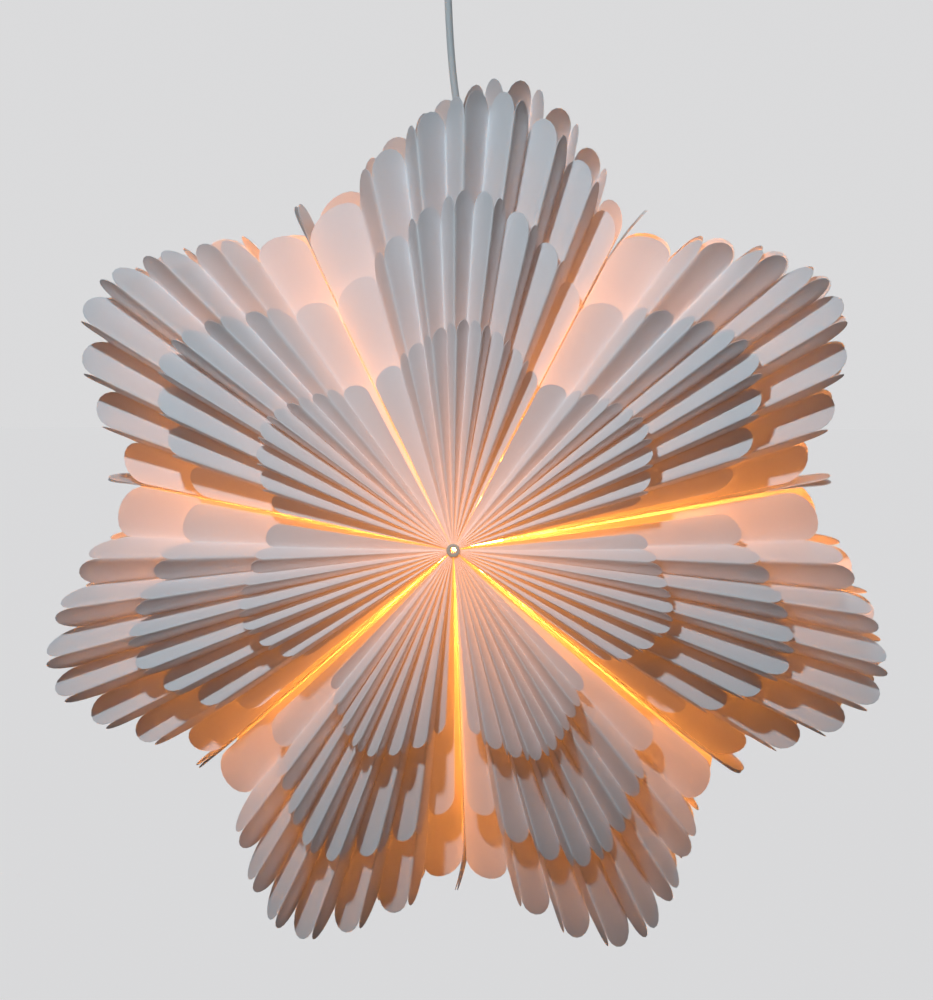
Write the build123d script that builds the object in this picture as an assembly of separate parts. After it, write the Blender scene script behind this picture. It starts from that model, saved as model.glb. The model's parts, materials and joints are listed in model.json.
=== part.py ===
from build123d import *
from math import cos, pi, radians, sin, sqrt, tan
import os

# A folded paper star that hangs on its lead. Seven points stand round a horizontal axis. Each point has
# three pleated fans in front and the same three behind, the small one outermost. Every fan is one strip
# of card, folded in and out along creases that all run to one apex on the axis. The fans are held on a
# tubular rivet at each apex, and seven flat walls stand in the seams between the points.
# Millimetres, +Z up, the front of the star faces -Y. The origin is on the ceiling, where the lead starts.

# ---------------------------------------------------------------- the star
points = 7                 # points of the star
top_opening = 3.5          # degrees by which the hanger spreads the top point beyond an even share
star_drop = 540.0          # from the ceiling down to the axis of the star
star_side = 14.0           # the set of the lead holds the star this far to the right of its outlet

# ---------------------------------------------------------------- the pleated fans
panels = 14                # flat panels in one fan
card = 0.9                 # card of a fan, measured along the star's axis
hub_gap = 0.3              # between the inner edges of the fans and the rivet
apex_depth = 125.0         # from the middle of the star to the apex of the small fans
panel_angle = 7.6          # degrees between two creases, measured on the card
end_panel = 9.0            # degrees from a seam to the first crease beside it
middle_pleat = 7.1         # degrees by which a valley lies behind a mountain, in the middle of a fan
end_pleat = 5.6            # the same at the ends, where the fan is drawn flatter
end_fall = 5.5             # degrees by which the ends of a fan lie further back than its middle
end_rise = 1.5             # degrees by which the outer edge of a fan stands in front of its last valley
steepest_panel = 1.0       # degrees that the steepest panel still takes up, seen from the front
top_lean = 4.5             # degrees by which the middle of the top fans leans to the right
side_sag = 3.2             # degrees by which the middle of a level fan sags
scallop_ratio = 0.058      # height of a scallop over the distance of its tip from the apex
end_power = 1.4            # how late the outline of a fan falls away towards its ends
# Of each tier: radius in the middle and at the ends, how far its apex lies behind the small tier's,
# degrees from its edge to the seam, slope of its middle, halfway up the pleats, and chords in a scallop.
small = dict(name="small", middle=183.0, end=151.0, depth=0.0, seam_gap=3.6, slope=4.55, chords=3)
middle = dict(name="middle", middle=287.0, end=227.0, depth=4.0, seam_gap=2.0, slope=8.55, chords=3)
large = dict(name="large", middle=371.0, end=293.0, depth=8.0, seam_gap=0.5, slope=11.25, chords=4)
tiers = (small, middle, large)

# ---------------------------------------------------------------- the seam walls
wall = 0.8                 # two glued layers of card
wall_inner = 80.0          # radius where a wall starts
wall_outer = 286.0         # radius of its outer corners
wall_tip = 16.0            # how far its rounded end stands out beyond them
wall_gap = 0.3             # between a wall and the fans that it stands against
wall_chords = 8
hanger_hole = 223.0        # radius of the holes for the hanger

# ---------------------------------------------------------------- the rivets
rivet_bore = 4.6
rivet_barrel = 8.0         # outer diameter
rivet_flange = 11.0
rivet_sheet = 0.8          # thickness of the flange
rivet_length = 17.0

# ---------------------------------------------------------------- the lamp, by height above the axis
holder_radius = 20.0
holder_low = 30.0
holder_high = 70.0
socket_floor = 66.0
socket_clear = 1.6         # round the screw base
flange_radius = 24.0
flange_low = 51.3
flange_thick = 2.5
cap_lip = 1.0              # by which the cap is wider than the body
cap_rim = 9.0
cap_radius = 11.0          # at its top
cap_high = 96.0
grip_radius = 6.5
grip_collar = 8.0
grip_high = 106.0
ring_radius = 29.0
ring_height = 7.0
ring_skirt = 4.0
ring_clear = 0.3
contact_radius = 3.5
contact_clear = 0.3
spring_width = 5.0
spring_thick = 0.8
spring_length = 20.0
base_radius = 13.2         # of the bulb's screw base, over its crests
base_shoulder = 57.0
base_low = 38.0
base_high = 62.0
neck_radius = 12.4
globe_radius = 30.0
globe_centre = -8.0
globe_start = radians(50)  # how far round above its equator the globe meets the neck
globe_bands = 5
neck_skirt = 4.0

# ---------------------------------------------------------------- the hanger
wire = 2.0                 # diameter
wire_sides = 8
wire_clear = 0.2
hook_inset = 6.0           # from its bend to the wall
hook_length = 8.0          # end that stands out beyond the wall
hook_clear = 0.3           # round the hook in the hole of the wall
hook_bend = 4.0
arm_reach = 26.0           # where the arms rise beside the lampholder
arm_back = 6.0
arm_rise = 95.0
rise_bend = 25.0
arm_bend = 6.0
loop_bend = 14.0

# ---------------------------------------------------------------- the lead and its ceiling rose
cord = 6.0                 # diameter
cord_tail = 14.0           # lead above the middle of its ball
cord_set = 1.0             # by which its lower bend stands out to the right of the holder
cup_radius = 42.0
cup_height = 62.0
cup_wall = 2.5
cup_edge = 1.5             # bevel of its lower rim
cup_gap = 0.4              # between its rim and the ceiling
outlet_radius = 8.0
ball_radius = 10.0
ball_clear = 0.4
ball_end = radians(60)     # where the ball is cut off, above and below
ball_bands = 3
plate_radius = 36.0
plate_thick = 3.0
ear_width = 12.0
ear_thick = 6.0
ear_drop = 12.0
ear_clear = 0.9            # between an ear and the cup
side_screw_z = -9.0
side_screw_radius = 1.75
side_screw_head = 3.6
side_screw_head_height = 2.0
screw_spacing = 50.0
screw_radius = 2.25
block_length = 30.0
block_width = 16.0
block_height = 12.0
terminal_radius = 2.0

ball_z = -cup_height + cup_wall + sqrt(ball_radius**2 - outlet_radius**2) + ball_clear
# The lead hangs plumb from the rose, bends to the right just above the star, and runs down to the holder.
cord_route = [
    (0.0, 0.0, ball_z + cord_tail),
    (0.0, 0.0, -142.0),
    (star_side + cord_set, 0.0, -236.0),
    (star_side, 0.0, -370.0),
    (star_side, 0.0, cap_high - star_drop),
]

os.makedirs("parts", exist_ok=True)
centre = Vector(star_side, 0, -star_drop)


def save(name, *solids):
    """Write one sub-part, given in the frame of the ceiling."""
    export_step(solids[0] if len(solids) == 1 else Compound(list(solids)), f"parts/{name}.step")


def save_on_star(name, *solids):
    """Write one sub-part that was drawn round the middle of the star."""
    save(name, *[solid.moved(Location(centre)) for solid in solids])


def flat_face(*corners):
    """A flat face inside a closed line through the corners."""
    return Face(Wire(Polyline(*corners, close=True).edges()))


def turned(*profile):
    """A turned piece about Z, from the (radius, height) corners of its outline."""
    return Solid.revolve(flat_face(*[(r, 0, z) for r, z in profile]), 360, Axis.Z)


def rod(radius, low, high, x=0.0):
    """A round upright rod."""
    return Solid.make_cylinder(radius, high - low, Plane((x, 0, low)))


def tube_along(name, route, section, radii=None):
    """A wire or lead along a route of points, with arcs as large as the runs allow."""
    corners = [Vector(*p) for p in route]
    if radii is None:
        radii = []
        for before, here, after in zip(corners, corners[1:], corners[2:]):
            turn = radians((here - before).get_angle(after - here))
            run = min((here - before).length, (after - here).length)
            radii.append(0.45 * run / tan(turn / 2))
    path = FilletPolyline(*corners, radius=radii)
    tube = sweep(Plane(corners[0], z_dir=corners[1] - corners[0]) * section, path=path).solid()
    share = tube.volume / (section.area * path.length)
    bends = ", ".join(f"{radius:.0f}" for radius in radii)
    print(f"{name}: {path.length:.1f} mm long, bends of {bends} mm")
    print(f"{name}: volume over section times length {share:.4f}")
    return tube


# ---------------------------------------------------------------- layout of the points
pitch = 360 / points
spreads = [pitch + top_opening * cos(radians(i * pitch)) for i in range(points)]
seams = [-spreads[0] / 2]
for spread in spreads:
    seams.append(seams[-1] + spread)


def direction(azimuth, slope):
    """Unit vector from an apex: azimuth clockwise from the top, slope backwards, in degrees."""
    a = radians(azimuth)
    s = radians(slope)
    return Vector(cos(s) * sin(a), sin(s), cos(s) * cos(a))


# ---------------------------------------------------------------- the pleated fans
def crease_slopes(tier):
    """Slopes of the edges and creases of a fan: mountains and valleys in turn, further back at the ends."""
    slopes = []
    for k in range(panels + 1):
        share = (2 * k / panels - 1) ** 2
        pleat = middle_pleat - (middle_pleat - end_pleat) * share
        slopes.append(tier["slope"] + end_fall * share + (pleat / 2 if k % 2 else -pleat / 2))
    slopes[0] = slopes[-1] = slopes[1] - end_rise
    return slopes


def crease_azimuths(low, high, gap, lean, slopes):
    """The edges and creases of a fan between two seams. All panels but the last have the same angle on the
    card, so a steep one looks narrow from the front. Only the edges differ from tier to tier."""
    widths = []
    for before, after in zip(slopes[1:-2], slopes[2:-1]):
        widths.append(sqrt(max(steepest_panel**2, panel_angle**2 - (after - before) ** 2)))
    scale = (high - low - 2 * end_panel) / sum(widths)
    creases = [low + end_panel]
    for width in widths:
        creases.append(creases[-1] + width * scale)
    leaning = []
    for azimuth in creases:
        share = 2 * (azimuth - low) / (high - low) - 1
        leaning.append(azimuth + lean * (1 - share**2))
    return [low + gap, *leaning, high - gap]


def outline_radius(tier, k):
    """Distance from the apex to the tips of a fan, at crease k."""
    share = abs(2 * k / panels - 1) ** end_power
    return tier["middle"] - (tier["middle"] - tier["end"]) * share


def scalloped_panel(tier, apex, left, right, k):
    """Corners of one flat panel between the creases left and right, with its rounded outer end."""
    inner = rivet_barrel / 2 + hub_gap
    foot_left = outline_radius(tier, k) * (1 - scallop_ratio)
    foot_right = outline_radius(tier, k + 1) * (1 - scallop_ratio)
    rise = scallop_ratio * (outline_radius(tier, k) + outline_radius(tier, k + 1)) / 2
    corners = [apex + left * inner]
    for step in range(tier["chords"] + 1):
        turn = pi * step / tier["chords"]
        share = (1 - cos(turn)) / 2
        ray = (left * (1 - share) + right * share).normalized()
        reach = foot_left * (1 - share) + foot_right * share + rise * sin(turn)
        corners.append(apex + ray * reach)
    return corners + [apex + right * inner]


def pleated_fan(tier, low, high, lean):
    """One strip of card, folded into flat panels that share their creases."""
    slopes = crease_slopes(tier)
    azimuths = crease_azimuths(low, high, tier["seam_gap"], lean, slopes)
    creases = [direction(a, s) for a, s in zip(azimuths, slopes)]
    apex = Vector(0, tier["depth"] - apex_depth, 0)
    sheets = []
    for k in range(panels):
        corners = scalloped_panel(tier, apex, creases[k], creases[k + 1], k)
        sheets.append(Solid.extrude(flat_face(*corners), Vector(0, -card, 0)))
    return sheets[0].fuse(*sheets[1:])


for tier in tiers:
    for i in range(points):
        sag = side_sag * sin(radians((seams[i] + seams[i + 1]) / 2))
        front = pleated_fan(tier, seams[i], seams[i + 1], sag if i else top_lean)
        save_on_star(f"front_{tier['name']}_fan_{i + 1}", front)
        save_on_star(f"rear_{tier['name']}_fan_{i + 1}", mirror(front, Plane.XZ))


# ---------------------------------------------------------------- the seam walls
def wall_half_depth(radius):
    """Distance from the middle plane of the star to the edge of a wall."""
    slope = radians(crease_slopes(large)[0])
    return apex_depth - large["depth"] - radius * tan(slope) - wall_gap


def seam_wall(azimuth, pierced):
    """A flat wall along one seam, with a rounded outer end, and a hole where the hanger hooks in."""
    outline = [(wall_half_depth(wall_inner), wall_inner), (-wall_half_depth(wall_inner), wall_inner)]
    for step in range(wall_chords + 1):
        turn = pi * step / wall_chords
        outline.append((-wall_half_depth(wall_outer) * cos(turn), wall_outer + wall_tip * sin(turn)))
    sheet = Solid.extrude(flat_face(*[(-wall / 2, y, r) for y, r in outline]), Vector(wall, 0, 0))
    if pierced:
        drill = Plane((-wall, 0, hanger_hole), z_dir=(1, 0, 0))
        sheet = sheet.cut(Solid.make_cylinder(wire / 2 + hook_clear, 2 * wall, drill))
    return sheet.rotate(Axis.Y, azimuth)


save_on_star("seam_walls", *[seam_wall(seams[i + 1], i in (0, points - 1)) for i in range(points)])


# ---------------------------------------------------------------- the rivets
def rivet():
    """A tubular rivet whose flange lies over the inner edges of the small fans."""
    back = apex_depth + card + hub_gap
    piece = turned(
        (rivet_bore / 2, back - rivet_length),
        (rivet_barrel / 2, back - rivet_length),
        (rivet_barrel / 2, back),
        (rivet_flange / 2, back),
        (rivet_flange / 2 - rivet_sheet / 2, back + rivet_sheet),
        (rivet_bore / 2, back + rivet_sheet),
    )
    return piece.rotate(Axis.X, 90)


save_on_star("front_rivet", rivet())
save_on_star("rear_rivet", mirror(rivet(), Plane.XZ))

# ---------------------------------------------------------------- the lampholder
socket_radius = base_radius + socket_clear
save_on_star("lampholder_body", turned(
    (socket_radius, holder_low),
    (holder_radius, holder_low),
    (holder_radius, flange_low),
    (flange_radius, flange_low),
    (flange_radius, flange_low + flange_thick),
    (holder_radius, flange_low + flange_thick),
    (holder_radius, holder_high),
    (0, holder_high),
    (0, socket_floor),
    (socket_radius, socket_floor),
))

save_on_star("lampholder_cap", turned(
    (0, holder_high),
    (holder_radius + cap_lip, holder_high),
    (holder_radius + cap_lip, holder_high + cap_rim),
    (cap_radius, cap_high),
    (0, cap_high),
))

save_on_star("cord_grip", turned(
    (cord / 2, cap_high),
    (grip_collar, cap_high),
    (grip_collar, (cap_high + grip_high) / 2),
    (grip_radius, (cap_high + grip_high) / 2),
    (grip_radius, grip_high),
    (cord / 2, grip_high),
))

ring_top = flange_low - wire - 2 * wire_clear
save_on_star("shade_ring", turned(
    (holder_radius + ring_clear, ring_top - ring_height),
    (ring_radius - ring_skirt, ring_top - ring_height),
    (ring_radius, ring_top - ring_height + ring_skirt),
    (ring_radius, ring_top),
    (holder_radius + ring_clear, ring_top),
))

spring_low = socket_floor - spring_length
springs = []
for x in (-base_radius - contact_clear - spring_thick, base_radius + contact_clear):
    corner = Plane((x, -spring_width / 2, spring_low))
    springs.append(Solid.make_box(spring_thick, spring_width, spring_length, corner))
save_on_star("contacts", rod(contact_radius, base_high + contact_clear, socket_floor), *springs)

# ---------------------------------------------------------------- the bulb
save_on_star("bulb_base", turned(
    (0, base_low),
    (base_radius, base_low),
    (base_radius, base_shoulder),
    (contact_radius, base_high),
    (0, base_high),
))

bulb_outline = [(0, base_low), (neck_radius, base_low), (neck_radius, base_low - neck_skirt)]
for band in range(globe_bands):
    turn = globe_start - (globe_start + pi / 2) * band / globe_bands
    bulb_outline.append((globe_radius * cos(turn), globe_centre + globe_radius * sin(turn)))
save_on_star("bulb_glass", turned(*bulb_outline, (0, globe_centre - globe_radius)))

# ---------------------------------------------------------------- the hanger
# A sprung wire lies round the lampholder under its flange, rises beside the cap, and hooks outwards
# through the holes in the two seam walls beside the top point.
loop_z = ring_top + wire_clear + wire / 2
loop_reach = holder_radius + wire / 2 + ring_clear
hanger_seam = radians(seams[1])
hole = Vector(sin(hanger_seam), 0, cos(hanger_seam)) * hanger_hole
through = Vector(cos(hanger_seam), 0, -sin(hanger_seam))
right_half = [
    Vector(loop_reach, -loop_reach, loop_z),
    Vector(arm_reach, arm_back, loop_z),
    Vector(arm_reach, arm_back / 2, arm_rise),
    hole - through * hook_inset,
    hole + through * hook_length,
]
left_half = [Vector(-p.X, p.Y, p.Z) for p in reversed(right_half)]
right_bends = [loop_bend, arm_bend, rise_bend, hook_bend]
bends = right_bends[::-1] + right_bends
wire_section = RegularPolygon(wire / 2, wire_sides)
save_on_star("hanger", tube_along("hanger", left_half + right_half, wire_section, bends))

# ---------------------------------------------------------------- the ceiling rose
cup = rod(cup_radius, -cup_height, -cup_gap).cut(
    rod(cup_radius - cup_wall, cup_wall - cup_height, 0),
    rod(outlet_radius, -cup_height - cup_wall, 0),
)
rim = cup.edges().filter_by(GeomType.CIRCLE).group_by(Axis.Z)[0].sort_by(SortBy.LENGTH)[-1:]
cup = cup.chamfer(cup_edge, None, rim)
plate = rod(plate_radius, -plate_thick, 0)
ear_face = cup_radius - cup_wall - ear_clear
side_screws = []
for side in (-1, 1):
    ear_middle = side * (ear_face - ear_thick / 2)
    ear = Pos(ear_middle, 0, -plate_thick - ear_drop / 2) * Box(ear_thick, ear_width, ear_drop)
    plate = plate.fuse(ear.solid())
    axis = Plane((side * (ear_face - ear_thick), 0, side_screw_z), z_dir=(side, 0, 0))
    shank_length = ear_thick + ear_clear + cup_wall
    shank = Solid.make_cylinder(side_screw_radius, shank_length, axis)
    head = Solid.make_cylinder(side_screw_head, side_screw_head_height, axis.offset(shank_length))
    plate = plate.cut(shank)
    cup = cup.cut(shank)
    side_screws.append(shank.fuse(head))
for side in (-1, 1):
    drill = Plane((0, side * screw_spacing / 2, -plate_thick))
    plate = plate.cut(Solid.make_cylinder(screw_radius, plate_thick, drill))
save("ceiling_plate", plate)
save("ceiling_cup", cup)
save("cup_screws", *side_screws)

block = Pos(0, 0, -plate_thick - block_height / 2) * Box(block_length, block_width, block_height)
for x in (-block_length / 3, 0, block_length / 3):
    bore = Rot(90, 0, 0) * Cylinder(terminal_radius, block_width)
    block -= Pos(x, 0, -plate_thick - block_height / 2) * bore
save("terminal_block", block.solid())

# ---------------------------------------------------------------- the lead
ball_rise = ball_radius * sin(ball_end)
ball_outline = [(cord / 2, ball_z - ball_rise), (cord / 2, ball_z + ball_rise)]
for band in range(ball_bands + 1):
    turn = ball_end * (1 - 2 * band / ball_bands)
    ball_outline.append((ball_radius * cos(turn), ball_z + ball_radius * sin(turn)))
save("cord_ball", turned(*ball_outline))
save("cord", tube_along("cord", cord_route, Circle(cord / 2)))
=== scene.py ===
# %% [markdown]
# A folded paper star that hangs on its lead, with a lamp inside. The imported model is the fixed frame: it
# gives every piece its place, and it stays as it is. The looks are built around it, one piece at a time.

# %% Load the frame
import json

import bpy
import numpy as np
from math import cos, pi, radians, sin, tan
from mathutils import Matrix, Vector


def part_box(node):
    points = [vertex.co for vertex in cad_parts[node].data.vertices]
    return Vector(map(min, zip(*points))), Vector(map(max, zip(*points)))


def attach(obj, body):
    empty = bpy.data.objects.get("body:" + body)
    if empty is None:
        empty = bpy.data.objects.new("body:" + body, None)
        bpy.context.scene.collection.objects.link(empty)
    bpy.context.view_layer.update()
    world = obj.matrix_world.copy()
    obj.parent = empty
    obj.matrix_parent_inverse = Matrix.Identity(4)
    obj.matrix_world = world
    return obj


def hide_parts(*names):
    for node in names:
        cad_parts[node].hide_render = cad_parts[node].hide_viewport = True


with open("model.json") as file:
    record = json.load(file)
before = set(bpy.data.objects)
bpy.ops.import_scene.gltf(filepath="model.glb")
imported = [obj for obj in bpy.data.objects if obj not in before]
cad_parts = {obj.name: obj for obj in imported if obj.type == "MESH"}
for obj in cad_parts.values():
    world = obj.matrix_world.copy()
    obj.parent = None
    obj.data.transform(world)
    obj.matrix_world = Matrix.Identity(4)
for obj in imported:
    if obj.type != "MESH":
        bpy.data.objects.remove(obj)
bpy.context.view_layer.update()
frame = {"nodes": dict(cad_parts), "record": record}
scene = bpy.context.scene
MM = 0.001
merge_distance = 0.001 * MM

# %% [markdown]
# Operators act on whatever is selected, and the frame arrives selected. Three small helpers keep every
# step tidy: one starts from nothing selected, one fetches the piece that an operator has just added and
# gives it its name, and one applies a modifier, so that a finished piece is a plain mesh.


# %% Helpers for modelling
def select_only(*pieces):
    """Deselect all, then select these pieces and make the first one active."""
    if bpy.context.object and bpy.context.object.mode != "OBJECT":
        bpy.ops.object.mode_set(mode="OBJECT")
    bpy.ops.object.select_all(action="DESELECT")
    for piece in pieces:
        piece.select_set(True)
    if pieces:
        bpy.context.view_layer.objects.active = pieces[0]


def named(name):
    """The piece that an operator has just added, under its name."""
    piece = bpy.context.object
    piece.name = name
    piece.data.name = name
    return piece


def with_modifier(piece, kind, **settings):
    """Add one modifier with its settings and apply it."""
    select_only(piece)
    modifier = piece.modifiers.new(kind.lower(), kind)
    for key, value in settings.items():
        setattr(modifier, key, value)
    bpy.ops.object.modifier_apply(modifier=modifier.name)
    return piece


def place_applied(piece):
    """Move a piece's place, turn and size into its mesh."""
    select_only(piece)
    bpy.ops.object.transform_apply(location=True, rotation=True, scale=True)
    return piece


def smooth(piece, degrees):
    """Smooth shading, with an edge kept wherever faces meet at more than this angle."""
    select_only(piece)
    bpy.ops.object.shade_smooth_by_angle(angle=radians(degrees))
    return piece


# %% [markdown]
# Materials are written as sums. The class wraps one output of a node, so that an expression on wrapped
# values adds the Math nodes by itself, and `node` makes any other node from its type, its settings and
# the values or links of its sockets.


# %% Shader expressions
class Wire:
    """One socket of a material, with arithmetic."""

    tree = None

    def __init__(self, socket):
        self.socket = socket

    @staticmethod
    def link(value, socket):
        if isinstance(value, Wire):
            Wire.tree.links.new(value.socket, socket)
        else:
            socket.default_value = value

    @staticmethod
    def node(kind, settings=None, output=0, **sockets):
        made = Wire.tree.nodes.new(kind)
        for key, value in (settings or {}).items():
            setattr(made, key, value)
        for key, value in sockets.items():
            index = int(key[1:]) if key[0] == "i" and key[1:].isdigit() else key.replace("_", " ")
            Wire.link(value, made.inputs[index])
        return Wire(made.outputs[output])

    def math(self, operation, other):
        return Wire.node("ShaderNodeMath", {"operation": operation}, i0=self, i1=other)

    def __add__(self, other):
        return self.math("ADD", other)

    def __mul__(self, other):
        return self.math("MULTIPLY", other)

    __radd__ = __add__
    __rmul__ = __mul__


def ramped(value, low, high):
    """0 below low, 1 above high, straight between them."""
    return Wire.node("ShaderNodeMapRange", {"clamp": True}, Value=value, From_Min=low, From_Max=high)


def noise(scale, detail, stretch=(1, 1, 1)):
    """Cloudy noise on the object's own coordinates, in metres."""
    place = Wire.node("ShaderNodeTexCoord", output="Object")
    stretched = Wire.node("ShaderNodeMapping", Vector=place, Scale=stretch)
    return Wire.node("ShaderNodeTexNoise", output="Fac", Vector=stretched, Scale=scale, Detail=detail)


def mixed(factor, first, second):
    """A blend of two colours."""
    return Wire.node("ShaderNodeMix", {"data_type": "RGBA"}, output=2, i0=factor, i6=first, i7=second)


def bump(height, strength, distance):
    """A bumped normal. The distance is in metres."""
    return Wire.node("ShaderNodeBump", Height=height, Strength=strength, Distance=distance)


def attribute(name):
    """A number kept on the points of a mesh."""
    return Wire.node("ShaderNodeAttribute", {"attribute_name": name}, output="Fac")


def start_material(name):
    """A new material with an empty tree, and its output node."""
    material = bpy.data.materials.new(name)
    material.use_nodes = True
    Wire.tree = material.node_tree
    Wire.tree.nodes.clear()
    return material, Wire.tree.nodes.new("ShaderNodeOutputMaterial")


def finished(material, output, **sockets):
    """Close a material with one Principled shader, and return the material."""
    shader = Wire.node("ShaderNodeBsdfPrincipled", **sockets)
    Wire.link(shader, output.inputs["Surface"])
    return material


def dress(piece, material):
    """Give a piece one material all over."""
    piece.data.materials.clear()
    piece.data.materials.append(material)


# %% [markdown]
# The star is cut from uncoated card. Card is matt, carries a fine fibre texture, and lets some of the
# lamp's light through, so the shader mixes a reflecting and a translucent part. Each fan keeps a number on
# its points that is 1 on a fold and 0 between folds: folding breaks the surface, which shows as a slightly
# raised line, and the line is painted paler, partly for the broken surface and partly as a painted
# highlight where the rounded crease catches the light. A card is modelled with both its faces, and light
# should scatter once in it and not twice, so a face that is met from inside the card is clear. Where three
# cards lie over each other too few light paths find their way out. A second number, the glow, paints that
# light on as a warm emission: a painted glow near the apex, and beside each seam, where the lamp's light
# leaks out between the fans.


# %% The card
card_white = (0.83, 0.84, 0.855, 1)
card_shade = (0.79, 0.80, 0.82, 1)
fold_pale_and_highlight = (0.88, 0.88, 0.88, 1)
card_through = 0.09
wall_through = 0.12
card_tint = (1.0, 0.97, 0.93, 1)
black = (0, 0, 0, 1)
# Colour and strength of the painted glow on the card.
glow_colour = (1.0, 0.29, 0.035, 1)
glow_strength = 0.62
fibre_scale = 900
cloud_scale = 14
fold_share = 0.6
card_relief = 0.25 * MM


def card_finish(name, through):
    """Matt card of which `through` is translucent, clear when met from inside."""
    material, output = start_material(name)
    fibres = noise(fibre_scale, 4)
    clouds = noise(cloud_scale, 2)
    fold = ramped(attribute("fold"), 0.72, 1.0)
    tone = mixed(ramped(clouds + fibres * 0.35, 0.45, 0.9), card_shade, card_white)
    # Painted paler on the folds: partly the broken card, partly a painted highlight on the rounded crease.
    tone = mixed(fold * fold_share, tone, fold_pale_and_highlight)
    relief = bump(fibres + fold * fold_share, 0.22, card_relief)
    # The emission is painted light: the glow number paints on the lamp's light that comes through the cards
    # and out of the seams.
    sheet = Wire.node("ShaderNodeBsdfPrincipled", Base_Color=tone, Roughness=0.82 + fibres * 0.1,
                      Specular_IOR_Level=0.25, Normal=relief, Emission_Strength=glow_strength,
                      Emission_Color=mixed(attribute("glow"), black, glow_colour))
    passing = Wire.node("ShaderNodeBsdfTranslucent", Color=card_tint)
    both = Wire.node("ShaderNodeMixShader", i0=through, i1=sheet, i2=passing)
    inside = Wire.node("ShaderNodeNewGeometry", output="Backfacing")
    clear = Wire.node("ShaderNodeBsdfTransparent")
    Wire.link(Wire.node("ShaderNodeMixShader", i0=inside, i1=both, i2=clear), output.inputs["Surface"])
    return material


star_card = card_finish("star_card", card_through)
wall_card = card_finish("wall_card", wall_through)
print("card finishes:", star_card.name, wall_card.name)

# %% [markdown]
# Where the star hangs and how its points lie is read from the frame or named here once. The top point is
# spread a little by the hanger that hooks in beside it, and the points below close up to make room.


# %% The layout of the star
def corners(node):
    """The two corners of a node's box in the frame."""
    return [Vector(corner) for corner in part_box(node)]


front_low, front_high = corners("front_rivet")
rear_high = corners("rear_rivet")[1]
middle_x = (front_low.x + front_high.x) / 2
middle_z = (front_low.z + front_high.z) / 2
middle = Vector((middle_x, 0, middle_z))
rivet_sheet = 0.8 * MM
card_cad = 0.9 * MM
hub_gap = 0.3 * MM
apex_depth = -front_low.y - rivet_sheet - hub_gap - card_cad
points = 7
top_opening = 3.5
pitch = 360 / points
spreads = [pitch + top_opening * cos(radians(i * pitch)) for i in range(points)]
seams = [-spreads[0] / 2]
for spread in spreads:
    seams.append(seams[-1] + spread)
print("star centre:", [round(v, 4) for v in middle], "apex depth:", round(apex_depth, 4))
print("seams:", [round(a, 1) for a in seams])

# %% [markdown]
# A pleated fan is one strip of card: fourteen flat panels between creases that all run to one apex, every
# second crease standing forward, and a rounded tongue cut at the end of every panel. It starts as a grid,
# which already has the rows and columns. Each column goes to its panel, each row to its distance from the
# apex, and the spacing across a panel follows a half circle, so that the last row draws the round tongue.
# Real card is never quite flat or even: panels bow a little, folds are rounded and wander by a fraction of
# a degree, and the tips curl. The side points sag, and the fans behind the top one were cut a little longer.
# A seeded generator gives each fan its own small differences. Solidify gives the card its thickness.
#
# Angles are in degrees. The lists give the skew of the front fans from the top clockwise, and the gap
# beside each front seam from the upper left clockwise.

# %% The pleated fans
panels = 14
columns = 10
rows = 14
card_thickness = 0.4 * MM
inner = 4.3 * MM
panel_angle = 7.6
end_panel = 8.0
middle_pleat = 6.9
end_pleat = 5.4
end_fall = 5.5
end_rise = 1.5
steepest_panel = 1.9
fold_round = 0.12
scallop_ratio = 0.058
end_power = 1.4
fold_wander = 0.12
slope_wander = 0.22
edge_wander = 1.1
skews = (0.22, 0.12, 0.10, 0.0, -0.3, -0.1, -0.14)
side_sag = 3.2
fold_smoothing = 50
bow_wander = 0.9 * MM
bow_mean = 0.7 * MM
tip_curl = 2.0 * MM
curl_power = 5
rear_top_stretch = 1.03
seam_shine_width = 1.4
seam_edge_width = 0.35
seam_edge_shine = 1.6
# glow, reach and seam_glow set how strongly and how far each tier's card is painted with glow.
small = dict(
    name="small", middle=183 * MM, end=151 * MM, depth=0, slope=2.6, lean=5.2,
    gaps=(1.4, 0.4, 4.4, 4.2, 3.6, 4.8, 1.6), rear_gap=3.4,
    glow=0.85, reach=80 * MM, seam_glow=0.06,
)
medium = dict(
    name="middle", middle=287 * MM, end=227 * MM, depth=4 * MM, slope=8.0, lean=4.0,
    gaps=(0.2, 0.2, 2.4, 1.6, 1.4, 1.9, 0.6), rear_gap=1.7,
    glow=0.9, reach=90 * MM, seam_glow=0.34,
)
large = dict(
    name="large", middle=371 * MM, end=293 * MM, depth=8 * MM, slope=11.25, lean=5.0,
    gaps=(0.2, 0.2, 0.8, 0.6, 0.35, 0.45, 0.3), rear_gap=0.4,
    glow=0.9, reach=100 * MM, seam_glow=0.28,
)
tiers = (small, medium, large)


def directions(azimuths, slopes):
    """Unit vectors from an apex, azimuth clockwise from the top and slope backwards, in degrees."""
    a = np.radians(azimuths)
    s = np.radians(slopes)
    return np.stack([np.cos(s) * np.sin(a), np.sin(s), np.cos(s) * np.cos(a)], axis=-1)


def crease_slopes(tier):
    """Slopes of the edges and creases: mountains and valleys in turn, further back at the ends."""
    number = np.arange(panels + 1)
    share = (2 * number / panels - 1) ** 2
    pleat = middle_pleat - (middle_pleat - end_pleat) * share
    slopes = tier["slope"] + end_fall * share + np.where(number % 2, pleat / 2, -pleat / 2)
    slopes[0] = slopes[-1] = slopes[1] - end_rise
    return slopes


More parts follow.
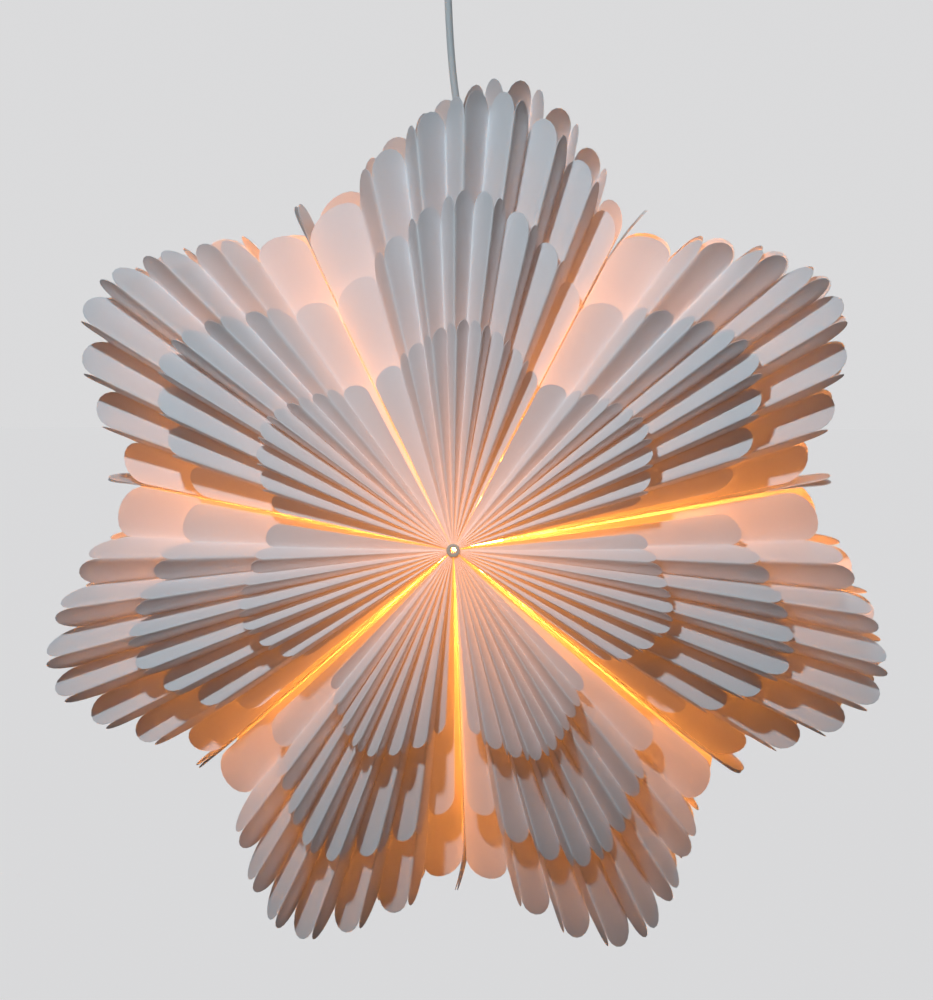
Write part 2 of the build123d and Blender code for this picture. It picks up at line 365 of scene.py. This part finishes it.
def crease_lines(tier, low, high, lean, gaps, skew, chance):
    """Directions and lengths of the edges and creases of one fan between two seams. Every panel has about
    the same angle on the card, so a steep one looks narrow from the front. Skew widens every second one."""
    slopes = crease_slopes(tier)
    steep = np.diff(slopes[1:-1])
    widths = np.sqrt(np.maximum(steepest_panel**2, panel_angle**2 - steep**2))
    widths[::2] *= 1 + skew
    widths[1::2] *= 1 - skew
    widths *= (high - low - 2 * end_panel) / widths.sum()
    azimuths = low + end_panel + np.concatenate([[0], np.cumsum(widths)])
    azimuths += lean * (1 - (2 * (azimuths - low) / (high - low) - 1) ** 2)
    azimuths += chance.uniform(-fold_wander, fold_wander, panels - 1)
    azimuths = np.concatenate([[low + gaps[0]], azimuths, [high - gaps[1]]])
    slopes += chance.uniform(-slope_wander, slope_wander, panels + 1)
    slopes[[0, -1]] += chance.uniform(-edge_wander, edge_wander, 2)
    share = np.abs(2 * np.arange(panels + 1) / panels - 1) ** end_power
    lengths = tier["middle"] - (tier["middle"] - tier["end"]) * share
    return directions(azimuths, slopes), lengths


def rounded_folds(ray, creases, panel, share):
    """Close to an inner crease the card follows a small curve from one panel to the next."""
    near = panel + (share > 0.5)
    offset = np.where(share > 0.5, share - 1, share)
    curved = (np.abs(offset) < fold_round) & (near > 0) & (near < panels)
    near = np.clip(near, 1, panels - 1)
    before = creases[near] + fold_round * (creases[near - 1] - creases[near])
    after = creases[near] + fold_round * (creases[near + 1] - creases[near])
    t = ((offset / fold_round + 1) / 2)[:, None]
    curve = (1 - t) ** 2 * before + 2 * t * (1 - t) * creases[near] + t**2 * after
    return np.where(curved[:, None], curve, ray)


def fan_creases(tier, i, side, chance):
    """Crease directions and lengths of fan number i + 1 of a tier."""
    low, high = seams[i], seams[i + 1]
    lean = side_sag * sin(radians((low + high) / 2)) if i else tier["lean"]
    gaps = (tier["rear_gap"], tier["rear_gap"])
    skew = 0
    if side < 0:
        gaps = (tier["gaps"][i], tier["gaps"][(i + 1) % points])
        skew = skews[i]
    creases, lengths = crease_lines(tier, low, high, lean, gaps, skew, chance)
    if i == 0 and side > 0:
        lengths *= rear_top_stretch
    return creases, lengths


def keep_number(mesh, name, values):
    """Keep one number on each point of a mesh."""
    mesh.attributes.new(name, "FLOAT", "POINT").data.foreach_set("value", values)


def fan_points(tier, creases, lengths, across, along, chance):
    """Places of the grid's points in a fan that faces the front, their turn round the half circle of their
    panel, and their distance from the apex."""
    panel = np.minimum((across * panels + 1e-6).astype(int), panels - 1)
    turn = np.clip(across * panels - panel, 0, 1) * pi
    share = ((1 - np.cos(turn)) / 2)[:, None]
    ray = creases[panel] * (1 - share) + creases[panel + 1] * share
    ray /= np.linalg.norm(ray, axis=1)[:, None]
    ray = rounded_folds(ray, creases, panel, share[:, 0])
    length = lengths[panel] * (1 - share[:, 0]) + lengths[panel + 1] * share[:, 0]
    reach = length * (1 - scallop_ratio + scallop_ratio * np.sin(turn))
    distance = (inner + (reach - inner) * along)[:, None]
    normal = np.cross(creases[panel + 1], creases[panel])
    normal /= np.linalg.norm(normal, axis=1)[:, None]
    normal *= -np.sign(normal[:, 1:2])
    bows = bow_mean + chance.uniform(-bow_wander, bow_wander, panels)
    bow = bows[panel][:, None] * 4 * share * (1 - share) * distance / tier["middle"]
    place = ray * distance + normal * bow
    curl = tip_curl * chance.uniform(0.4, 1.0)
    place[:, 1] += tier["depth"] - apex_depth + curl * (distance[:, 0] / tier["middle"]) ** curl_power
    place[:, 1] -= card_cad / 2
    return place, turn, distance[:, 0]


def pleated_fan(node, tier, i, side, seed):
    """Fan number i + 1 of a tier. side is -1 in front and 1 behind."""
    chance = np.random.default_rng(seed)
    creases, lengths = fan_creases(tier, i, side, chance)
    bpy.ops.mesh.primitive_grid_add(x_subdivisions=panels * columns, y_subdivisions=rows, size=1)
    fan = named(node + "_card")
    mesh = fan.data
    grid = np.empty(len(mesh.vertices) * 3)
    mesh.vertices.foreach_get("co", grid)
    across, along = (grid.reshape(-1, 3)[:, :2] + 0.5).T
    place, turn, distance = fan_points(tier, creases, lengths, across, along, chance)
    place[:, 1] *= -side
    mesh.vertices.foreach_set("co", (place + np.array(middle)).ravel())
    keep_number(mesh, "fold", np.abs(np.cos(turn)) ** 4)
    # Painted glow: a warm emission, strongest near the apex and on the panels beside each seam, where the
    # lamp's light comes through.
    edge = panels * np.minimum(across, 1 - across)
    beside_seam = np.exp(-((edge / seam_shine_width) ** 2))
    beside_seam += seam_edge_shine * np.exp(-((edge / seam_edge_width) ** 2))
    near_apex = np.exp(-distance / tier["reach"])
    keep_number(mesh, "glow", tier["glow"] * near_apex + tier["seam_glow"] * beside_seam)
    with_modifier(fan, "SOLIDIFY", thickness=card_thickness, offset=0)
    smooth(fan, fold_smoothing)
    dress(fan, star_card)
    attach(fan, "star")
    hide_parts(node)


seed = 0
for tier in tiers:
    for i in range(points):
        for side, word in ((-1, "front"), (1, "rear")):
            seed += 1
            pleated_fan(f"{word}_{tier['name']}_fan_{i + 1}", tier, i, side, seed)
print("fans:", seed)

# %% [markdown]
# In each seam between two points stands a wall of two glued layers, which keeps the front and the back of
# the star apart. Seen from the front it is edge on, a thin blade in the notch, and its free end springs
# open a little because the two layers are not glued out to the tip. Each layer is a grid, shaped to the
# wall's outline, bent away from its twin towards the end, and given its thickness.

# %% The seam walls
wall_inner = 80 * MM
wall_outer = 286 * MM
wall_tip = 16 * MM
wall_gap = 0.3 * MM
layer_thickness = 0.35 * MM
layer_gap = 0.02 * MM
tip_spread = 1.3 * MM
blade_wander = 1.5 * MM
blade_bends = (2 * MM, 10 * MM, 2 * MM, -3 * MM, 9 * MM, 3 * MM, -3 * MM)
blade_start = 0.84 * wall_outer
blade_length = wall_outer + wall_tip - blade_start
wall_smoothing = 30


def wall_half_depth(radius):
    """Half the wall's depth at a radius: it ends just behind the large fans' edges."""
    slope = radians(crease_slopes(large)[0])
    return apex_depth - large["depth"] - radius * tan(slope) - wall_gap


def wall_layer(name, azimuth, face, bend, chance):
    """One layer of a seam wall, on the side that face gives. Its free end bends clockwise."""
    bpy.ops.mesh.primitive_grid_add(x_subdivisions=20, y_subdivisions=26, size=1)
    layer = named(name)
    bend += chance.uniform(-1, 1) * blade_wander
    a = radians(azimuth)
    outwards = Vector((sin(a), 0, cos(a)))
    sideways = Vector((cos(a), 0, -sin(a)))
    for vertex in layer.data.vertices:
        turn = (vertex.co.x + 0.5) * pi
        end = wall_outer + wall_tip * sin(turn)
        along = vertex.co.y + 0.5
        radius = wall_inner + (end - wall_inner) * along
        depth = -wall_half_depth(min(radius, wall_outer)) * cos(turn)
        free = max(0.0, (radius - blade_start) / blade_length) ** 2
        aside = face * (layer_thickness / 2 + layer_gap + tip_spread * free) + bend * free
        vertex.co = middle + outwards * radius + sideways * aside + Vector((0, depth, 0))
    with_modifier(layer, "SOLIDIFY", thickness=layer_thickness, offset=0)
    return layer


def joined(pieces):
    """Several meshes as one piece."""
    select_only(*pieces)
    bpy.ops.object.join()
    return bpy.context.object


chance = np.random.default_rng(11)
for i in range(points):
    layers = [wall_layer(f"seam_wall_{i + 1}" + word, seams[i], face, blade_bends[i], chance)
              for face, word in ((-1, ""), (1, "_twin"))]
    wall = joined(layers)
    smooth(wall, wall_smoothing)
    dress(wall, wall_card)
    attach(wall, "star")
    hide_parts("seam_walls")
print("seam walls:", points)

# %% [markdown]
# A tubular rivet at each apex holds the inner ends of all the fans. It is a turned piece: its outline of
# barrel, rolled flange and bore is spun round the axis.

# %% The rivets
rivet_colour = (0.98, 0.70, 0.52, 1)
rivet_worn = (0.86, 0.60, 0.45, 1)
rivet_bore = 2.3 * MM
rivet_barrel = 4.0 * MM
rivet_flange = 5.5 * MM
rivet_length = 16 * MM
rivet_smoothing = 35


def rivet_finish():
    """Lacquered metal, duller where it is worn."""
    material, output = start_material("rivet_metal")
    wear = ramped(noise(700, 3), 0.45, 0.75)
    tone = mixed(wear * 0.4, rivet_colour, rivet_worn)
    return finished(material, output, Base_Color=tone, Roughness=0.42 + wear * 0.2,
                    Metallic=0.0, Specular_IOR_Level=0.5, Normal=bump(wear, 0.08, 0.0002))


def turned(name, profile, segments=64):
    """A turned piece from a closed line of (radius, height) points, spun round the upright axis."""
    bpy.ops.mesh.primitive_circle_add(vertices=len(profile), radius=1, fill_type="NOTHING")
    piece = named(name)
    for vertex, (radius, height) in zip(piece.data.vertices, profile):
        vertex.co = (radius, 0, height)
    select_only(piece)
    bpy.ops.object.mode_set(mode="EDIT")
    bpy.ops.mesh.select_all(action="SELECT")
    bpy.ops.mesh.spin(steps=segments, angle=2 * pi, center=(0, 0, 0), axis=(0, 0, 1))
    bpy.ops.mesh.remove_doubles(threshold=merge_distance)
    bpy.ops.mesh.normals_make_consistent(inside=False)
    bpy.ops.object.mode_set(mode="OBJECT")
    return piece


def rivet_profile():
    """Barrel, rolled flange and bore, measured from the back of the flange."""
    quarter = np.linspace(0, pi / 2, 5)
    face = [(rivet_flange - 0.6 * rivet_sheet * (1 - cos(t)), rivet_sheet * sin(t)) for t in quarter]
    lip = [(rivet_bore + 0.8 * rivet_sheet * (1 - sin(t)), rivet_sheet * (0.55 + 0.45 * cos(t)))
           for t in quarter]
    return [(rivet_barrel, -rivet_length), (rivet_barrel, 0), (rivet_flange, 0), *face[1:], *lip,
            (rivet_bore, -rivet_length)]


rivet_metal = rivet_finish()
for word, box_y, flip in (("front", front_low.y + rivet_sheet, 0), ("rear", rear_high.y - rivet_sheet, pi)):
    rivet = turned(f"{word}_rivet_turned", rivet_profile())
    rivet.rotation_euler.x = pi / 2 + flip
    rivet.location = (middle_x, box_y, middle_z)
    place_applied(rivet)
    smooth(rivet, rivet_smoothing)
    dress(rivet, rivet_metal)
    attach(rivet, "star")
    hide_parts(f"{word}_rivet")
print("rivet flange:", round(2 * rivet_flange, 4), "m")

# %% [markdown]
# The lamp is an opal globe on a screw base. Opal glass spreads the light of its core so evenly that the
# whole globe shines, so its surface gives off the light itself: warm, and much stronger than the room. The
# globe is a sphere whose upper part is drawn in to the neck, and its last rows close the neck's end.

# %% The bulb
lamp_colour = (1.0, 0.29, 0.035, 1)
lamp_strength = 260.0
opal = (0.95, 0.93, 0.9, 1)
glass_low, glass_high = corners("bulb_glass")
glass_skin = 0.1 * MM
globe_radius = (glass_high.x - glass_low.x) / 2
globe_centre = glass_low.z + globe_radius
neck_radius = 12.3 * MM
neck_start = globe_radius * 0.5
neck_height = glass_high.z - globe_centre - neck_start
shoulder_radius = globe_radius * 0.866
closing = 0.97
globe_smoothing = 40


def bulb_finish():
    """Opal glass that shines all over."""
    material, output = start_material("opal_glass")
    return finished(material, output, Base_Color=opal, Roughness=0.18, Coat_Weight=0.3,
                    Emission_Color=lamp_colour, Emission_Strength=lamp_strength)


bpy.ops.mesh.primitive_uv_sphere_add(segments=64, ring_count=40, radius=globe_radius - glass_skin,
                                     location=(middle_x, 0, globe_centre))
globe = place_applied(named("bulb_globe"))
for vertex in globe.data.vertices:
    height = vertex.co.z - globe_centre
    if height > neck_start:
        around = Vector((vertex.co.x - middle_x, vertex.co.y))
        rise = (height / globe_radius - 0.5) / 0.5
        radius = around.length
        target = neck_radius + (shoulder_radius - neck_radius) * (1 - rise) ** 1.6
        if radius > merge_distance:
            scale = target / radius if rise < closing else neck_radius / radius * 0.9
            vertex.co.x = middle_x + around.x * scale
            vertex.co.y = around.y * scale
        vertex.co.z = globe_centre + neck_start + rise * neck_height
smooth(globe, globe_smoothing)
dress(globe, bulb_finish())
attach(globe, "bulb")
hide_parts("bulb_glass")
print("globe:", round(2 * globe_radius, 4), "m")

# %% [markdown]
# The fittings are moulded plastic and plated metal. Plastic is even and fairly smooth, with a faint grain
# from its mould. Plated metal shows the fine lines of its drawing or rolling.


# %% Finishes of the fittings
def darker(colour, share):
    """A colour times a share."""
    return tuple(c * share for c in colour[:3]) + (1,)


def moulded(name, colour, roughness=0.4):
    """Moulded plastic."""
    material, output = start_material(name)
    grain = noise(1400, 2)
    cloud = noise(30, 2)
    tone = mixed(cloud * 0.5, colour, darker(colour, 0.94))
    return finished(material, output, Base_Color=tone, Roughness=roughness + grain * 0.12,
                    Specular_IOR_Level=0.5, Normal=bump(grain, 0.06, 0.0002))


def plated(name, colour, roughness):
    """Plated metal with fine lines."""
    material, output = start_material(name)
    brushed = noise(500, 3, (1, 1, 12))
    tone = mixed(brushed, colour, darker(colour, 0.82))
    return finished(material, output, Base_Color=tone, Metallic=1.0, Roughness=roughness + brushed * 0.15,
                    Normal=bump(brushed, 0.05, 0.0001))


finishes = {
    "white_plastic": moulded("white_plastic", (0.84, 0.84, 0.82, 1)),
    "cup_plastic": moulded("cup_plastic", (0.86, 0.86, 0.84, 1), 0.3),
    "block_plastic": moulded("block_plastic", (0.80, 0.77, 0.70, 1)),
    "hanger_wire": plated("hanger_wire", (0.70, 0.70, 0.71, 1), 0.3),
    "contact_brass": plated("contact_brass", (0.85, 0.66, 0.33, 1), 0.3),
    "bulb_metal": plated("bulb_metal", (0.78, 0.78, 0.78, 1), 0.28),
    "plate_metal": plated("plate_metal", (0.72, 0.73, 0.75, 1), 0.38),
}
for part in frame["record"]["subparts"]:
    if part["material_slot"] in finishes:
        dress(frame["nodes"][part["node"]], finishes[part["material_slot"]])
print("finishes:", len(finishes))

# %% [markdown]
# The round fittings have forms that a plain turned piece lacks: rolled threads on the screw base and the
# lampholder, and ribs for the fingers on the cap and the ring. Each starts as a grid whose columns go round
# the axis and whose rows follow the outline. A relief function then moves each point inwards by its angle,
# and the points that meet at the seam of the grid and on the axis are merged. The outlines are in
# millimetres, out from the axis and up from the star's middle.


# %% Threads and ribs
fitting_smoothing = 32


def wrapped(name, outline, relief, segments=96):
    """A closed piece round the lamp's axis from (radius, height) points; relief adds to a radius by angle,
    height and place in the outline."""
    bpy.ops.mesh.primitive_grid_add(x_subdivisions=segments, y_subdivisions=len(outline) - 1, size=1)
    piece = named(name)
    for vertex in piece.data.vertices:
        turn = (vertex.co.x + 0.5) * 2 * pi
        row = round((vertex.co.y + 0.5) * (len(outline) - 1))
        radius, height = outline[row]
        if radius > merge_distance:
            radius += relief(turn, height, row)
        vertex.co = (middle_x + radius * cos(turn), radius * sin(turn), middle_z + height)
    select_only(piece)
    bpy.ops.object.mode_set(mode="EDIT")
    bpy.ops.mesh.select_all(action="SELECT")
    bpy.ops.mesh.remove_doubles(threshold=merge_distance)
    bpy.ops.mesh.normals_make_consistent(inside=False)
    bpy.ops.object.mode_set(mode="OBJECT")
    return piece


def thread(pitch, depth, low, high):
    """Relief of a rolled thread between two heights."""
    def relief(turn, height, row):
        fade = min(1, max(0, (height - low) / pitch)) * min(1, max(0, (high - height) / pitch))
        return -depth * fade * (0.5 + 0.5 * cos(2 * pi * height / pitch - turn))
    return relief


def ribs(count, depth, rows):
    """Relief of finger ribs on some rows of the outline."""
    def relief(turn, height, row):
        return -depth * (0.5 - 0.5 * cos(count * turn)) ** 2 if row in rows else 0
    return relief


def fitted(piece, node, body):
    """Put a fitting in the place of its node, with that node's finish."""
    slot = next(part["material_slot"] for part in frame["record"]["subparts"] if part["node"] == node)
    smooth(piece, fitting_smoothing)
    dress(piece, finishes[slot])
    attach(piece, body)
    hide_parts(node)


def risers(radius, low, high, count):
    """Evenly spaced points up a straight side."""
    return [(radius, low + (high - low) * step / count) for step in range(count + 1)]


def in_metres(outline):
    """An outline in millimetres as one in metres."""
    return [(radius * MM, height * MM) for radius, height in outline]


base_thread = thread(3.6 * MM, 0.9 * MM, 40 * MM, 56 * MM)
base_outline = in_metres([(0, 38), (12.4, 38), *risers(13.2, 39, 56, 68), (12.4, 57.4), (5.2, 60),
                          (4.6, 61.6), (0, 62)])
fitted(wrapped("bulb_base_rolled", base_outline, base_thread), "bulb_base", "bulb")

body_thread = thread(2.6 * MM, 0.7 * MM, 31 * MM, 49 * MM)
body_outline = in_metres([(0, 66), (14.8, 66), (14.8, 30), *risers(20, 30, 51.3, 64), (23.6, 51.3),
                          (24, 51.7), (24, 53.4), (23.6, 53.8), (20, 53.8), (20, 70), (0, 70)])
fitted(wrapped("lampholder_threaded", body_outline, body_thread), "lampholder_body", "star")

dome = [(11 + 10 * cos(t) ** 0.8, 79 + 17 * sin(t)) for t in np.linspace(0, 0.97 * pi / 2, 12)]
cap_outline = in_metres([(0, 70), (20.5, 70), (21, 70.5), (21, 78.6), *dome, (0, 96)])
cap_ribs = ribs(28, 0.6 * MM, range(3, 12))
fitted(wrapped("lampholder_cap_ribbed", cap_outline, cap_ribs, 336), "lampholder_cap", "star")

ring_top = (corners("shade_ring")[1].z - middle_z) / MM
ring_outline = in_metres([(20.3, ring_top - 7), (25, ring_top - 7), (25.6, ring_top - 6.7),
                          (28.8, ring_top - 3.2), (29, ring_top - 2.6), (29, ring_top - 0.4),
                          (28.6, ring_top), (20.3, ring_top), (20.3, ring_top - 7)])
ring_ribs = ribs(36, 0.7 * MM, (3, 4, 5))
fitted(wrapped("shade_ring_ribbed", ring_outline, ring_ribs, 360), "shade_ring", "ring")
print("ring:", round(ring_top, 1), "mm above the star's middle")

# %% [markdown]
# The ceiling cup is a thin moulded bowl. Its outline is turned as a closed line: up the outside, over the
# rim, down the inside, and through the outlet, whose edge rests on the ball of the lead.

# %% The ceiling cup
cup_low, cup_high = corners("ceiling_cup")
cup_radius = (cup_high.x - cup_low.x) / 2
cup_wall = 2.5 * MM
cup_round = 3 * MM
outlet = 8 * MM
rounding = [(cup_radius - cup_round * (1 - cos(t)), cup_low.z + cup_round * (1 - sin(t)))
            for t in np.linspace(pi / 2, 0, 8)]
cup_outline = [(outlet, cup_low.z), *rounding, (cup_radius, cup_high.z), (cup_radius - cup_wall, cup_high.z),
               (cup_radius - cup_wall, cup_low.z + cup_wall), (outlet, cup_low.z + cup_wall)]
fitted(turned("ceiling_cup_moulded", cup_outline, 128), "ceiling_cup", "ceiling_rose")
print("ceiling cup:", round(2 * cup_radius, 4), "m across")

# %% [markdown]
# The lead is a round sheathed cord, held taut by the star's weight. It hangs plumb from the ceiling, bends
# to the right just above the star, and runs down between the fans to the lampholder. One smooth curve
# follows the route, given as places across and heights, and its bevel gives the diameter.

# %% The lead
cord_diameter = 6 * MM
sheath_pale = (0.70, 0.71, 0.71, 1)
sheath_grey = (0.60, 0.61, 0.61, 1)
cord_low, cord_high = corners("cord")
cord_route = [(0.0, cord_high.z), (0.0, -0.142), (0.015, -0.236), (0.014, -0.370), (0.014, cord_low.z)]


def cord_finish():
    """Grey-white sheath with a faint lengthwise grain."""
    material, output = start_material("cord_sheath")
    grain = noise(900, 3, (1, 1, 0.15))
    tone = mixed(grain, sheath_pale, sheath_grey)
    return finished(material, output, Base_Color=tone, Roughness=0.36 + grain * 0.1,
                    Specular_IOR_Level=0.5, Normal=bump(grain, 0.05, 0.0002))


line = bpy.data.curves.new("cord_sheathed", "CURVE")
line.dimensions = "3D"
line.bevel_depth = cord_diameter / 2
line.bevel_resolution = 8
line.resolution_u = 24
line.use_fill_caps = True
spline = line.splines.new("NURBS")
spline.points.add(len(cord_route) - 1)
for point, (x, z) in zip(spline.points, cord_route):
    point.co = (x, 0, z, 1)
spline.order_u = 3
spline.use_endpoint_u = True
lead = bpy.data.objects.new("cord_sheathed", line)
scene.collection.objects.link(lead)
lead.data.materials.append(cord_finish())
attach(lead, "lead")
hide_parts("cord")

# %% [markdown]
# The room is plain: a pale floor well below the star and a pale world, which the camera sees straight or in
# metal. To all other rays both are dark, so that the folds keep their shadows. A small cool light from
# above and from the left draws the pleats, a weak one fills in from the left, and one stands behind the
# star. The lamp in the star adds its own warm light. Rays that have passed through card count as
# transmission rays, so these aren't among the ones that see the pale world: it would light the star.


# %% The room and its light
floor_drop = 3.2
floor_size = 60
floor_shown = 0.7
floor_matt = 0.9
floor_strength = 1.12
world_strength = 0.82
room_strength = 0.045
room_colour = (0.78, 0.84, 0.92, 1)
pale = (0.86, 0.86, 0.87, 1)
soot = (0.06, 0.06, 0.06, 1)


def seen_straight():
    """1 for what the camera sees, straight or in metal, and 0 for light that falls on the object."""
    rays = Wire.tree.nodes.new("ShaderNodeLightPath")
    return Wire(rays.outputs["Is Camera Ray"]).math("MAXIMUM", Wire(rays.outputs["Is Glossy Ray"]))


bpy.ops.mesh.primitive_plane_add(size=floor_size, location=(0, 0, -floor_drop))
floor = named("floor")
floor_material, floor_output = start_material("floor_pale")
dark = Wire.node("ShaderNodeBsdfPrincipled", Base_Color=soot, Roughness=floor_matt)
matt = Wire.node("ShaderNodeBsdfPrincipled", Base_Color=pale, Roughness=floor_matt)
shining = Wire.node("ShaderNodeEmission", Color=pale, Strength=floor_strength)
seen = Wire.node("ShaderNodeMixShader", i0=floor_shown, i1=matt, i2=shining)
floor_look = Wire.node("ShaderNodeMixShader", i0=seen_straight(), i1=dark, i2=seen)
Wire.link(floor_look, floor_output.inputs["Surface"])
dress(floor, floor_material)

world = bpy.data.worlds.new("studio")
scene.world = world
world.use_nodes = True
Wire.tree = world.node_tree
Wire.tree.nodes.clear()
world_output = Wire.tree.nodes.new("ShaderNodeOutputWorld")
room = Wire.node("ShaderNodeBackground", Color=room_colour, Strength=room_strength)
backdrop = Wire.node("ShaderNodeBackground", Color=pale, Strength=world_strength)
world_look = Wire.node("ShaderNodeMixShader", i0=seen_straight(), i1=room, i2=backdrop)
Wire.link(world_look, world_output.inputs["Surface"])


def soft_light(name, place, size, power, colour):
    """A square area light that faces the star. Its size is in metres and its power in watts."""
    bpy.ops.object.light_add(type="AREA", location=place)
    light = bpy.context.object
    light.name = name
    light.data.size = size
    light.data.energy = power
    light.data.color = colour
    light.rotation_euler = (middle - Vector(place)).to_track_quat("-Z", "Y").to_euler()


soft_light("key", (-0.45, -2.1, 1.4), 0.15, 43, (0.74, 0.90, 1.0))
soft_light("fill", (-2.6, -1.8, -0.3), 2.0, 2.5, (0.92, 0.96, 1.0))
soft_light("back", (0.9, 2.3, 1.0), 1.2, 26, (0.84, 0.93, 1.0))
print("floor:", floor_drop, "m below the ceiling")

# %% [markdown]
# The camera stands a little above the star's axis and to its right, at the photograph's viewing angle. Its
# lens makes the star as many pixels wide as in the photograph, its shift puts the star's middle in the same
# place of the picture, and it is turned slightly about its own line of sight.

# %% The camera
view_azimuth = 5.0
view_elevation = 7.0
view_distance = 2.7
view_roll = -0.3
frame_width = 933
frame_height = 1000
star_pixels = 840
star_width = 0.695
centre_pixel = (467, 531)
sensor = 24
a, e = radians(view_azimuth), radians(view_elevation)
towards = Vector((sin(a) * cos(e), -cos(a) * cos(e), sin(e)))
bpy.ops.object.camera_add(location=middle + towards * view_distance)
camera = bpy.context.object
camera.name = "camera"
turn = (-towards).to_track_quat("-Z", "Y").to_matrix().to_4x4()
camera.matrix_world = Matrix.Translation(camera.location) @ turn @ Matrix.Rotation(radians(view_roll), 4, "Z")
camera.data.sensor_fit = "VERTICAL"
camera.data.sensor_height = sensor
camera.data.lens = sensor * view_distance * star_pixels / star_width / frame_height
camera.data.shift_x = (frame_width / 2 - centre_pixel[0]) / frame_height
camera.data.shift_y = (centre_pixel[1] - frame_height / 2) / frame_height
camera.data.clip_end = 100
scene.camera = camera
scene.view_settings.view_transform = "Standard"
print("lens:", round(camera.data.lens, 1), "mm")

# %% [markdown]

# %% The end
select_only()
